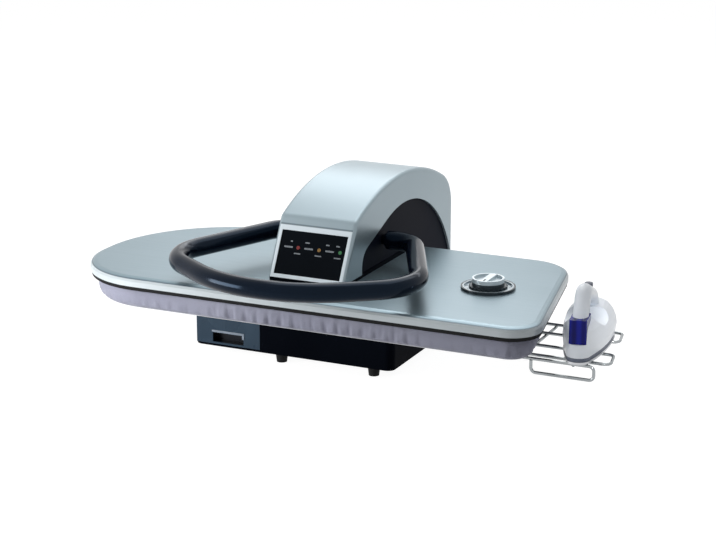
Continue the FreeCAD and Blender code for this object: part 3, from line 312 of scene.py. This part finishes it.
finishes = {
    "platen": brushedFinish("platenSilver", {
        "dark": (0.225, 0.320, 0.370), "light": (0.285, 0.375, 0.425),
        "stretch": (7.0, 420.0, 420.0), "streakDetail": 4.0, "streakRough": 0.65,
        "streakShare": 0.6, "driftShare": 0.4, "driftScale": 5.0,
        "toneMiddle": 0.5, "toneSoft": 0.2,
        # the rim tone is a painted highlight, the groove tone painted shade
        "rimTop": 0.0984, "rimSoft": 0.0004, "rim": (0.57, 0.63, 0.66), "rimDulls": 0.5,
        "groove": 0.0010, "grooveSoft": (0.0002, 0.0003), "grooveShadeDepth": 0.55,
        "grooveShadeTone": (0.06, 0.08, 0.10), "metal": 0.6,
        "rough": 0.25, "roughSpread": 0.12, "driftRough": 0.04,
        "bump": 0.05, "bumpDepth": 0.0002}),
    "arm": framedFinish("armSilver", {
        "dark": (0.330, 0.415, 0.460), "light": (0.375, 0.460, 0.505),
        "driftScale": 6.0, "grainScale": 2200.0, "edge": 0.0003, "edgeSoft": 0.0001,
        # the frame tone is a painted highlight, the line tone painted shade
        "frame": (0.70, 0.78, 0.83), "frameAbove": 0.0045, "lineWide": 0.0022,
        "lineSoft": 0.0005, "lineShadeTone": (0.08, 0.11, 0.13), "lineShadeDepth": 0.65,
        "rough": 0.30, "roughSpread": 0.06, "bump": 0.04, "bumpDepth": 0.0001,
        "fixed": {"Metallic": 0.5}}),
    "chrome": grainedFinish("chromeWire", {
        "dark": (0.24, 0.26, 0.27), "light": (0.37, 0.39, 0.40),
        "driftScale": 30.0, "grainScale": 900.0, "rough": 0.08, "roughSpread": 0.08,
        "bump": 0.03, "bumpDepth": 0.0002, "fixed": {"Metallic": 1.0}}),
    "steel": grainedFinish("platedSteel", {
        "dark": (0.40, 0.41, 0.43), "light": (0.52, 0.53, 0.55),
        "driftScale": 18.0, "grainScale": 600.0, "rough": 0.26, "roughSpread": 0.12,
        "bump": 0.08, "bumpDepth": 0.0003, "fixed": {"Metallic": 1.0}}),
    "alloy": grainedFinish("castAlloy", {
        "dark": (0.52, 0.53, 0.55), "light": (0.62, 0.63, 0.65),
        "driftScale": 12.0, "grainScale": 300.0, "rough": 0.34, "roughSpread": 0.14,
        "bump": 0.15, "bumpDepth": 0.0004, "fixed": {"Metallic": 1.0}}),
    "brass": grainedFinish("turnedBrass", {
        "dark": (0.52, 0.36, 0.12), "light": (0.66, 0.48, 0.18),
        "driftScale": 40.0, "grainScale": 700.0, "rough": 0.22, "roughSpread": 0.1,
        "bump": 0.05, "bumpDepth": 0.0002, "fixed": {"Metallic": 1.0}}),
    "housing": grainedFinish("darkHousing", {
        "dark": (0.0012, 0.0020, 0.0042), "light": (0.0026, 0.0038, 0.0070),
        "driftScale": 9.0, "grainScale": 1600.0, "rough": 0.45, "roughSpread": 0.12,
        "bump": 0.12, "bumpDepth": 0.0002, "fixed": {"Specular IOR Level": 0.012}}),
    "gloss": grainedFinish("glossBlack", {
        "dark": (0.0022, 0.0040, 0.0095), "light": (0.0040, 0.0066, 0.0145),
        "driftScale": 8.0, "grainScale": 2500.0, "rough": 0.10, "roughSpread": 0.04,
        "bump": 0.02, "bumpDepth": 0.0001,
        "fixed": {"Specular IOR Level": 0.19, "Specular Tint": rgba(0.42, 0.66, 1.0)}}),
    "panel": grainedFinish("panelBlack", {
        "dark": (0.0020, 0.0040, 0.0070), "light": (0.0038, 0.0062, 0.0100),
        "driftScale": 12.0, "grainScale": 2500.0, "rough": 0.14, "roughSpread": 0.05,
        "bump": 0.02, "bumpDepth": 0.0001, "fixed": {"Specular IOR Level": 0.04}}),
    "recess": grainedFinish("recessGrain", {
        "dark": (0.0018, 0.0028, 0.0080), "light": (0.0040, 0.0060, 0.0140),
        "driftScale": 7.0, "grainScale": 1500.0, "rough": 0.45, "roughSpread": 0.12,
        "bump": 0.15, "bumpDepth": 0.0002, "fixed": {"Specular IOR Level": 0.04}}),
    "tank": grainedFinish("tintedTank", {
        "dark": (0.024, 0.048, 0.078), "light": (0.038, 0.070, 0.108),
        "driftScale": 16.0, "grainScale": 1200.0, "rough": 0.22, "roughSpread": 0.08,
        "bump": 0.03, "bumpDepth": 0.0002, "fixed": {"Specular IOR Level": 0.25}}),
    "drawer": recessedFinish("drawerFront", {
        "dark": (0.024, 0.048, 0.078), "light": (0.038, 0.070, 0.108),
        "recessShade": (0.003, 0.005, 0.010), "depth": 0.0015,
        "driftScale": 16.0, "grainScale": 1200.0, "rough": 0.24, "roughSpread": 0.08,
        "bump": 0.03, "bumpDepth": 0.0002, "fixed": {"Specular IOR Level": 0.2}}),
    # pale tone: a painted highlight on the lit edge of the finger recess
    "recessEdgeHighlight": grainedFinish("recessEdgeHighlight", {
        "dark": (0.20, 0.25, 0.31), "light": (0.26, 0.31, 0.38),
        "driftScale": 60.0, "grainScale": 1500.0, "rough": 0.32, "roughSpread": 0.08,
        "bump": 0.03, "bumpDepth": 0.0002}),
    "rubber": grainedFinish("blackRubber", {
        "dark": (0.0045, 0.0048, 0.0055), "light": (0.0085, 0.0090, 0.0100),
        "driftScale": 30.0, "grainScale": 900.0, "rough": 0.62, "roughSpread": 0.12,
        "bump": 0.3, "bumpDepth": 0.0005, "fixed": {"Specular IOR Level": 0.2}}),
    "felt": grainedFinish("heatFelt", {
        "dark": (0.50, 0.47, 0.40), "light": (0.62, 0.59, 0.52),
        "driftScale": 25.0, "grainScale": 500.0, "rough": 0.85, "roughSpread": 0.1,
        "bump": 0.6, "bumpDepth": 0.001}),
    "circuit": grainedFinish("circuitCard", {
        "dark": (0.010, 0.070, 0.025), "light": (0.020, 0.110, 0.045),
        "driftScale": 90.0, "grainScale": 800.0, "rough": 0.35, "roughSpread": 0.1,
        "bump": 0.2, "bumpDepth": 0.0003}),
    # the dark outside band is painted shade on the scale's raised ring
    "scale": turnedFinish("scaleSilver", {
        "inside": (0.52, 0.60, 0.65), "outside": (0.030, 0.040, 0.048), "edge": 0.0318,
        "rough": 0.22, "fixed": {"Metallic": 0.6}}),
    # the dark inside tone is a painted reflection of the dark handle and arm beside the knob; the
    # bright cap is a painted highlight
    "knob": turnedFinish("knobChrome", {
        "inside": (0.045, 0.060, 0.072), "cap": (0.78, 0.86, 0.90), "capDeep": 0.0050,
        "rough": 0.32, "fixed": {"Metallic": 0.55}}),
    "white": grainedFinish("ironWhite", {
        "dark": (0.80, 0.85, 0.92), "light": (0.85, 0.90, 0.96),
        "driftScale": 14.0, "grainScale": 1500.0, "rough": 0.24, "roughSpread": 0.08,
        "bump": 0.03, "bumpDepth": 0.0002,
        "fixed": {"Coat Weight": 0.2, "Coat Roughness": 0.1}}),
    # the light and dark bands are painted highlight and painted shade on the tank's ribs
    "blue": stripedFinish("ironBlue", {
        "dark": (0.0010, 0.002, 0.120), "light": (0.006, 0.012, 0.280),
        "turn": 10.0, "pitch": 0.011, "shift": 0.6, "driftScale": 60.0,
        "bandShare": 0.35, "driftShare": 0.3, "toneBase": 0.35,
        "toneMiddle": 0.5, "toneSoft": 0.4, "rough": 0.14, "roughSpread": 0.1,
        "fixed": {"Specular IOR Level": 0.15}}),
    "grey": grainedFinish("ironGrey", {
        "dark": (0.070, 0.085, 0.125), "light": (0.11, 0.13, 0.18),
        "driftScale": 30.0, "grainScale": 800.0, "rough": 0.36, "roughSpread": 0.1,
        "bump": 0.15, "bumpDepth": 0.0003}),
    "print": grainedFinish("palePrint", {
        "dark": (0.25, 0.28, 0.31), "light": (0.36, 0.39, 0.42),
        "driftScale": 120.0, "grainScale": 2500.0, "rough": 0.5, "roughSpread": 0.1,
        "bump": 0.05, "bumpDepth": 0.0001, "fixed": {"Specular IOR Level": 0.2}}),
    "cloth": clothFinish("padCloth", {
        "dark": (0.365, 0.375, 0.485), "light": (0.425, 0.435, 0.545),
        "shade": (0.190, 0.192, 0.260), "thread": 0.0012,
        "driftScale": 9.0, "driftDetail": 4.0, "toneMiddle": 0.5, "toneSoft": 0.3,
        "fuzzScale": 900.0, "fuzzDetail": 2.0, "fuzzRough": 0.7,
        # the fold term is painted shade in the folds
        "weaveShade": 0.15, "fuzzShade": 0.3, "shadeBase": 0.12, "paintedFoldShade": 0.5,
        "rough": 0.76, "roughSpread": 0.12, "weaveHeight": 0.6,
        "bump": 0.35, "bumpDepth": 0.0006,
        "fixed": {"Sheen Weight": 0.25, "Sheen Roughness": 0.5}}),
}

# the three lamp lenses differ only in colour
lensLook = {"driftScale": 200.0, "grainScale": 900.0, "rough": 0.12, "roughSpread": 0.08,
            "bump": 0.05, "bumpDepth": 0.0002}
lensTones = {
    "red": ("lampRed", (0.20, 0.010, 0.012), (0.32, 0.020, 0.020)),
    "amber": ("lampAmber", (0.26, 0.13, 0.02), (0.36, 0.19, 0.03)),
    "green": ("lampGreen", (0.02, 0.16, 0.05), (0.04, 0.26, 0.08)),
}
for lens, (name, dark, light) in lensTones.items():
    finishes[lens] = grainedFinish(name, {**lensLook, "dark": dark, "light": light})

dressing = {
    "platen": ["platen_cover"],
    "arm": ["arm_cover"],
    "chrome": ["rack_rear_loop", "rack_front_loop", "rack_guard", "rack_cross_bars"],
    "steel": ["base_screws", "chassis_plate", "hinge_bracket_right", "hinge_bracket_left",
              "hinge_pin", "pin_clips", "lift_springs", "board_tray", "rack_screws",
              "heating_element", "platen_spacers", "arm_frame", "arm_bolts",
              "iron_soleplate"],
    "alloy": ["heating_plate", "steam_chamber"],
    "brass": ["tank_valve", "thermostat", "hinge_bushes"],
    "housing": ["base_tray", "hinge_cover", "pump", "tank_socket", "power_inlet",
                "rack_clamps", "arm_pedestal"],
    "gloss": ["handle_loop", "handle_studs"],
    "panel": ["panel_face"],
    "recess": ["arm_side_right", "arm_side_left"],
    "tank": ["tank_body", "tank_lid"],
    "drawer": ["tank_front"],
    "rubber": ["feet", "water_hose", "steam_hose", "platen_trim"],
    "felt": ["insulation"],
    "circuit": ["control_board", "panel_board"],
    "scale": ["dial_scale"],
    "knob": ["dial_knob"],
    "white": ["iron_body", "iron_handle"],
    "blue": ["iron_tank"],
    "grey": ["iron_skirt", "iron_button"],
    "red": ["lamp_red"],
    "amber": ["lamp_amber"],
    "green": ["lamp_green"],
}
for finish, names in dressing.items():
    for name in names:
        nodes[name].data.materials.clear()
        nodes[name].data.materials.append(finishes[finish])
print("finishes on", sum(len(names) for names in dressing.values()), "nodes")

armMid = middleOf("arm_cover").x


def deselect():
    if bpy.context.object and bpy.context.object.mode != "OBJECT":
        bpy.ops.object.mode_set(mode="OBJECT")
    bpy.ops.object.select_all(action="DESELECT")


def takeUp(piece):
    deselect()
    piece.select_set(True)
    bpy.context.view_layer.objects.active = piece


def editAll():
    bpy.ops.object.mode_set(mode="EDIT")
    bpy.ops.mesh.select_all(action="SELECT")


def settle(piece, name, body, finish):
    # place goes into the mesh, then the piece gets its finish and its body
    takeUp(piece)
    bpy.ops.object.transform_apply(location=True, rotation=True, scale=True)
    piece.name = name
    piece.data.name = name
    piece.data.materials.clear()
    piece.data.materials.append(finishes[finish])
    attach(piece, body)
    return piece


# cloth pad: swollen by simulation, gathered at its hem
# in metres; where the puckers begin, end and fade is in millimetres from the arm's middle
padLook = {
    "voxel": 0.005, "mergeGap": 0.00001, "shrink": 0.0018, "step": 0.001,
    "pressure": 4.0, "frames": 20, "cap": 0.0034, "fill": 0.75,
    "low": 0.0556, "widest": 0.0716, "edgeTop": 0.0805,
    "crownTop": 0.0875, "crownFrom": 0.001, "crownTo": 0.011,
    "hemTop": 0.0580, "hemInset": 0.0085, "hemSoft": 0.0035, "hemBand": 0.004,
    "gather": 0.0013, "gatherFade": 0.023, "folds": (0.0186, 0.0083, 0.0311),
    "foldFade": 0.5, "foldWander": 4.0, "wanderScale": (14, 7.3, 25),
    "strength": 0.55, "strengthSpread": 0.6, "strengthScale": 9, "strengthRow": 3.1,
    "pucker": 0.0009, "puckerFrom": -125.0, "puckerTo": 190.0, "puckerSoft": 40,
    "puckerFade": 0.7, "scallop": 0.0008, "scallopBand": 0.006,
    "sideFrom": 0.004, "sideTo": 0.012, "uprightBelow": 0.6,
}


def outlinePoints(piece, height, step):
    # evenly spaced points round the pad where it is widest, each with its way outward
    ring = bpy.data.objects.new("padRing", piece.data.copy())
    scene.collection.objects.link(ring)
    takeUp(ring)
    editAll()
    bpy.ops.mesh.bisect(plane_co=(0, 0, height), plane_no=(0, 0, 1),
                        clear_inner=True, clear_outer=True)
    bpy.ops.object.mode_set(mode="OBJECT")
    middle = sum((v.co for v in ring.data.vertices), Vector()) / len(ring.data.vertices)
    corners = sorted((v.co.copy() for v in ring.data.vertices),
                     key=lambda co: math.atan2(co.y - middle.y, co.x - middle.x))
    bpy.data.objects.remove(ring)
    points = []
    carried = 0.0
    for index, corner in enumerate(corners):
        run = corners[(index + 1) % len(corners)] - corner
        outward = Vector((run.y, -run.x, 0)).normalized()
        while carried < run.length:
            points.append((corner + run.normalized() * carried, outward))
            carried += step
        carried -= run.length
    return points


def swell(pad):
    start = [v.co.copy() for v in pad.data.vertices]
    cloth = pad.modifiers.new("swell", "CLOTH")
    cloth.settings.use_pressure = True
    cloth.settings.uniform_pressure_force = padLook["pressure"]
    cloth.settings.effector_weights.gravity = 0.0
    cloth.point_cache.frame_start = 1
    cloth.point_cache.frame_end = padLook["frames"]
    for number in range(1, padLook["frames"] + 1):
        scene.frame_set(number)
    takeUp(pad)
    bpy.ops.object.modifier_apply(modifier="swell")
    scene.frame_set(1)
    for vertex, before in zip(pad.data.vertices, start):
        moved = vertex.co - before
        if moved.length > padLook["cap"]:
            vertex.co = before + moved.normalized() * padLook["cap"]


def smoothStep(low, high, value):
    share = min(max((value - low) / (high - low), 0.0), 1.0)
    return share * share * (3 - 2 * share)


def foldsAt(along, height):
    # three waves of folds, each wandering a little along the hem
    alongScale, rowScale, upScale = padLook["wanderScale"]
    folds = 0.0
    for row, width in enumerate(padLook["folds"]):
        wander = noise.noise(Vector((along * alongScale, row * rowScale, height * upScale)))
        turn = 2 * math.pi * along / width + padLook["foldWander"] * wander
        folds += math.sin(turn) / (1 + row * padLook["foldFade"])
    return folds


def puckerAt(co):
    look = padLook
    place = (co.x - armMid) * 1000
    begins = smoothStep(look["puckerFrom"], look["puckerFrom"] + look["puckerSoft"], place)
    ends = smoothStep(look["puckerTo"] - look["puckerSoft"], look["puckerTo"], place)
    return begins * (1 - ends)


def gather(pad, outline, near):
    # folds run up from the hem, and the underside closes into the metal tray
    look = padLook
    low = look["low"]
    crown = look["crownTop"] - look["edgeTop"]
    depth = pad.data.attributes.new("fold", "FLOAT", "POINT").data
    for vertex in pad.data.vertices:
        co = vertex.co
        index = near.find((co.x, co.y, 0))[1]
        point, outward = outline[index]
        inset = -(co - point).dot(outward)
        along = index * look["step"]
        rise = smoothStep(low, low + look["gatherFade"], co.z)
        folds = foldsAt(along, co.z)
        drift = noise.noise(Vector((along * look["strengthScale"], look["strengthRow"], 0.0)))
        strength = look["strength"] + look["strengthSpread"] * drift
        reach = look["gather"] * strength * (1 - rise)
        reach += look["pucker"] * puckerAt(co) * (1 - look["puckerFade"] * rise)
        side = 1 - smoothStep(look["sideFrom"], look["sideTo"], inset)
        co += outward * (folds * reach * side)
        if co.z < low + look["scallopBand"]:
            co.z += max(folds, 0.0) * look["scallop"] * strength * side
        # the fold attribute marks the fold hollows, where the cloth finish paints shade
        hollow = min(folds, 0.0) * side * min(reach / look["gather"], 1.0)
        depth[vertex.index].value = 1.0 + hollow
        top = look["edgeTop"] + crown * smoothStep(look["crownFrom"], look["crownTo"], inset)
        co.z = min(co.z, top)
        if co.z < low + look["hemBand"] and inset > look["hemInset"]:
            under = smoothStep(look["hemInset"], look["hemInset"] + look["hemSoft"], inset)
            co.z = max(co.z, low) * (1 - under) + look["hemTop"] * under
        vertex.co = co


def layUv(pad, near):
    # the weave runs round the sides and straight across the top
    layer = pad.data.uv_layers.new(name="cloth")
    for face in pad.data.polygons:
        upright = abs(face.normal.z) < padLook["uprightBelow"]
        start = near.find((face.center.x, face.center.y, 0))[1] * padLook["step"]
        tangent = Vector((-face.normal.y, face.normal.x, 0)).normalized()
        for corner in face.loop_indices:
            co = pad.data.vertices[pad.data.loops[corner].vertex_index].co
            if upright:
                layer.data[corner].uv = (start + (co - face.center).dot(tangent), co.z)
            else:
                layer.data[corner].uv = (co.x, co.y)


def makePad():
    pad = bpy.data.objects.new("ironingPad", nodes["pad_cover"].data.copy())
    scene.collection.objects.link(pad)
    takeUp(pad)
    editAll()
    bpy.ops.mesh.remove_doubles(threshold=padLook["mergeGap"])
    bpy.ops.mesh.convex_hull()
    bpy.ops.object.mode_set(mode="OBJECT")
    outline = outlinePoints(pad, padLook["widest"], padLook["step"])
    near = kdtree.KDTree(len(outline))
    for index, (point, outward) in enumerate(outline):
        near.insert((point.x, point.y, 0), index)
    near.balance()
    takeUp(pad)
    pad.data.remesh_voxel_size = padLook["voxel"]
    bpy.ops.object.voxel_remesh()
    editAll()
    bpy.ops.transform.shrink_fatten(value=-padLook["shrink"])
    bpy.ops.object.mode_set(mode="OBJECT")
    swell(pad)
    takeUp(pad)
    smooth = pad.modifiers.new("smooth", "SUBSURF")
    smooth.levels = smooth.render_levels = 1
    bpy.ops.object.modifier_apply(modifier="smooth")
    gather(pad, outline, near)
    layUv(pad, near)
    bpy.ops.object.shade_smooth()
    settle(pad, "ironingPad", "base", "cloth")
    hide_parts("pad_cover", "foam_pad")
    return pad


ironingPad = makePad()
print("pad", len(ironingPad.data.polygons), "faces")

dashLook = {"bevel": 0.12, "segments": 2}


def makeDash():
    deselect()
    bpy.ops.mesh.primitive_cube_add(size=1.0)
    dash = bpy.context.object
    editAll()
    bpy.ops.mesh.bevel(offset=dashLook["bevel"], segments=dashLook["segments"])
    bpy.ops.object.mode_set(mode="OBJECT")
    return dash


def layMarks(name, spots, body, finish):
    # one rounded dash, copied to every spot and joined; a spot is a middle and three edges
    dash = makeDash()
    copies = []
    for middle, across, up, out in spots:
        one = dash.copy()
        one.data = dash.data.copy()
        scene.collection.objects.link(one)
        turn = Matrix((across, up, out)).transposed().to_4x4()
        one.matrix_world = Matrix.Translation(middle) @ turn
        copies.append(one)
    bpy.data.objects.remove(dash)
    deselect()
    for one in copies:
        one.select_set(True)
    bpy.context.view_layer.objects.active = copies[0]
    bpy.ops.object.transform_apply(location=True, rotation=True, scale=True)
    if len(copies) > 1:
        bpy.ops.object.join()
    settle(bpy.context.object, name, body, finish)


# pale dashes beside the lamps: along, up the slope, width and height in millimetres
panelLook = {"thick": 0.0004, "lift": 0.3, "marks": [
    (-33, 0, 12, 2.2), (-5, 0, 12, 2.2), (24, 0, 12, 2.2),
    (-30, 7.5, 3, 1.8), (-8, 7.5, 6, 1.8), (20, 7.5, 5, 1.8), (34, 7.5, 5, 1.8),
    (-19.5, -7.5, 9, 1.6), (9.5, -7.5, 9, 1.6), (36, -7.5, 9, 1.6)]}
lampRow = Vector((armMid, *middleOf("lamp_amber").yz))
panelStart = lampRow + panelOut * (reachOf("panel_face", panelOut) - panelOut.dot(lampRow))


def panelSpot(along, rise, wide, tall):
    middle = panelStart + Vector((along / 1000, 0, 0)) + panelUp * (rise / 1000)
    middle += panelOut * panelLook["thick"] * panelLook["lift"]
    return (middle, Vector((wide / 1000, 0, 0)), panelUp * (tall / 1000),
            panelOut * panelLook["thick"])


panelSpots = [panelSpot(*mark) for mark in panelLook["marks"]]
layMarks("panelMarks", panelSpots, "upper", "print")

# dial: ticks on the flat ring, a pointer on the knob's grip
dialLook = {
    "sheet": 0.0012, "thick": 0.0004, "ticks": 11, "spread": 270.0,
    "tickFrom": 0.0255, "tickTo": 0.0288, "tickWide": 0.0011,
    "pointerFrom": 0.009, "pointerTo": 0.017, "pointerWide": 0.0016,
}
dialMid = middleOf("dial_knob")


def dialSpot(part, angle, height):
    start, end = dialLook[part + "From"], dialLook[part + "To"]
    away = Vector((math.sin(angle), -math.cos(angle), 0))
    middle = Vector((dialMid.x, dialMid.y, height)) + away * (start + end) / 2
    across = Vector((0, 0, 1)).cross(away) * dialLook[part + "Wide"]
    return (middle, across, away * (end - start), Vector((0, 0, dialLook["thick"])))


def tickTurn(index):
    return math.radians(dialLook["spread"] * (index / (dialLook["ticks"] - 1) - 0.5))


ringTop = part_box("dial_scale")[0][2] + dialLook["sheet"]
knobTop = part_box("dial_knob")[1][2]
tickSpots = [dialSpot("tick", tickTurn(index), ringTop) for index in range(dialLook["ticks"])]
layMarks("dialTicks", tickSpots, "upper", "panel")
layMarks("dialPointer", [dialSpot("pointer", 0.0, knobTop)], "dial", "panel")

# pale lip round the top and right of the tank's finger recess, a painted highlight on its lit
# edge; in millimetres but for thick
lipLook = {"middle": -98.4, "wide": 46.0, "top": 33.0, "bar": 2.8, "drop": 8.0,
           "thick": 0.0014}
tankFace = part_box("tank_front")[0][1]


def lipSpot(along, high, wide, tall):
    return (Vector((armMid + along / 1000, tankFace, high / 1000)),
            Vector((wide / 1000, 0, 0)), Vector((0, 0, tall / 1000)),
            Vector((0, -lipLook["thick"], 0)))


lipEnd = lipLook["middle"] + (lipLook["wide"] - lipLook["bar"]) / 2
lipSpots = [
    lipSpot(lipLook["middle"], lipLook["top"] - lipLook["bar"] / 2,
            lipLook["wide"], lipLook["bar"]),
    lipSpot(lipEnd, lipLook["top"] - lipLook["drop"] / 2, lipLook["bar"], lipLook["drop"]),
]
layMarks("tankLipHighlight", lipSpots, "tank", "recessEdgeHighlight")
print("marks, ticks, pointer and lip laid")

# floor, light and camera; the lens follows from the picture's width and focal length in pixels
studio = {
    "floorSize": 12.0, "floorDrop": 0.0005, "floorWhite": 0.92, "floorRough": 0.9,
    "floorGlow": 0.7, "glowStrength": 1.36, "ambient": 0.16,
    "focalPixels": 2000.0, "pictureWide": 716.0, "sensor": 36.0, "clipEnd": 50.0,
    "distance": 2.543, "azimuth": 25.0, "elevation": 15.83,
    "aimAlong": 0.354, "aimAbove": 0.0007,
}


def seesBackdrop(tree):
    # rays that show the white background: from the camera, off gloss or through glass
    kinds = ("Is Camera Ray", "Is Glossy Ray", "Is Transmission Ray")
    camera, glossy, through = [Wire(tree).node("ShaderNodeLightPath", out=kind) for kind in kinds]
    return camera.atLeast(glossy.atLeast(through))


deselect()
bpy.ops.mesh.primitive_plane_add(size=studio["floorSize"], location=(0, 0, -studio["floorDrop"]))
floor = bpy.context.object
floor.name = "floor"
floorPaint = bpy.data.materials.new("floorPaint")
floorPaint.use_nodes = True
tree = floorPaint.node_tree
shader = tree.nodes["Principled BSDF"]
shader.inputs["Base Color"].default_value = rgba(*[studio["floorWhite"]] * 3)
shader.inputs["Roughness"].default_value = studio["floorRough"]
shader.inputs["Specular IOR Level"].default_value = 0.0
glow = Wire(tree).node("ShaderNodeEmission", {}, {
    "Color": rgba(1, 1, 1), "Strength": studio["glowStrength"]})
mixed = Wire(tree).node("ShaderNodeMixShader", {}, {
    0: seesBackdrop(tree) * studio["floorGlow"], 1: Wire(tree, shader.outputs[0]), 2: glow})
mixed.into(tree.nodes["Material Output"], "Surface")
floor.data.materials.append(floorPaint)

world = bpy.data.worlds.new("studio")
scene.world = world
world.use_nodes = True
sky = world.node_tree.nodes["Background"]
sky.inputs["Color"].default_value = rgba(1, 1, 1)
ambient = studio["ambient"]
(seesBackdrop(world.node_tree) * (1.0 - ambient) + ambient).into(sky, "Strength")

lamps = [
    {"name": "keyLight", "at": (-0.66, -0.66, 0.14), "aim": (0, 0, 0.1),
     "size": (0.4, 0.4), "spread": 180.0, "power": 5.6},
    {"name": "topLight", "at": (-0.05, 0.55, 1.55), "aim": (0, 0, 0.1),
     "size": (1.4, 1.4), "spread": 180.0, "power": 10.5},
    {"name": "stripLight", "at": (-0.04, 0.80, 0.72), "aim": (-0.04, -0.1, 0.1),
     "size": (1.2, 0.06), "spread": 180.0, "power": 0.7},
    {"name": "ironLight", "at": (0.72, -1.05, 0.55), "aim": (0.39, -0.06, 0.08),
     "size": (0.1, 0.1), "spread": 7.0, "power": 0.058},
    {"name": "backLight", "at": (-0.75, 1.5, 1.25), "aim": (0, 0, 0.1),
     "size": (0.9, 0.9), "spread": 180.0, "power": 4.0},
]


def turnTowards(item, target):
    item.rotation_euler = (target - item.location).to_track_quat("-Z", "Y").to_euler()


for lamp in lamps:
    data = bpy.data.lights.new(lamp["name"], "AREA")
    data.shape = "RECTANGLE"
    data.size, data.size_y = lamp["size"]
    data.spread = math.radians(lamp["spread"])
    data.energy = lamp["power"]
    light = bpy.data.objects.new(lamp["name"], data)
    scene.collection.objects.link(light)
    light.location = lamp["at"]
    turnTowards(light, Vector(lamp["aim"]))

platenLow, platenHigh = [Vector(corner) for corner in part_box("platen_cover")]
aim = Vector((platenLow.x + studio["aimAlong"], (platenLow.y + platenHigh.y) / 2,
              platenHigh.z + studio["aimAbove"]))
azimuth, elevation = math.radians(studio["azimuth"]), math.radians(studio["elevation"])
towardsCamera = Vector((math.sin(azimuth) * math.cos(elevation),
                        -math.cos(azimuth) * math.cos(elevation), math.sin(elevation)))
camera = bpy.data.objects.new("camera", bpy.data.cameras.new("camera"))
scene.collection.objects.link(camera)
camera.data.sensor_fit = "HORIZONTAL"
camera.data.sensor_width = studio["sensor"]
camera.data.lens = studio["focalPixels"] / studio["pictureWide"] * studio["sensor"]
camera.data.clip_end = studio["clipEnd"]
camera.location = aim + studio["distance"] * towardsCamera
turnTowards(camera, aim)
scene.camera = camera
scene.view_settings.view_transform = "Standard"
print("studio set")
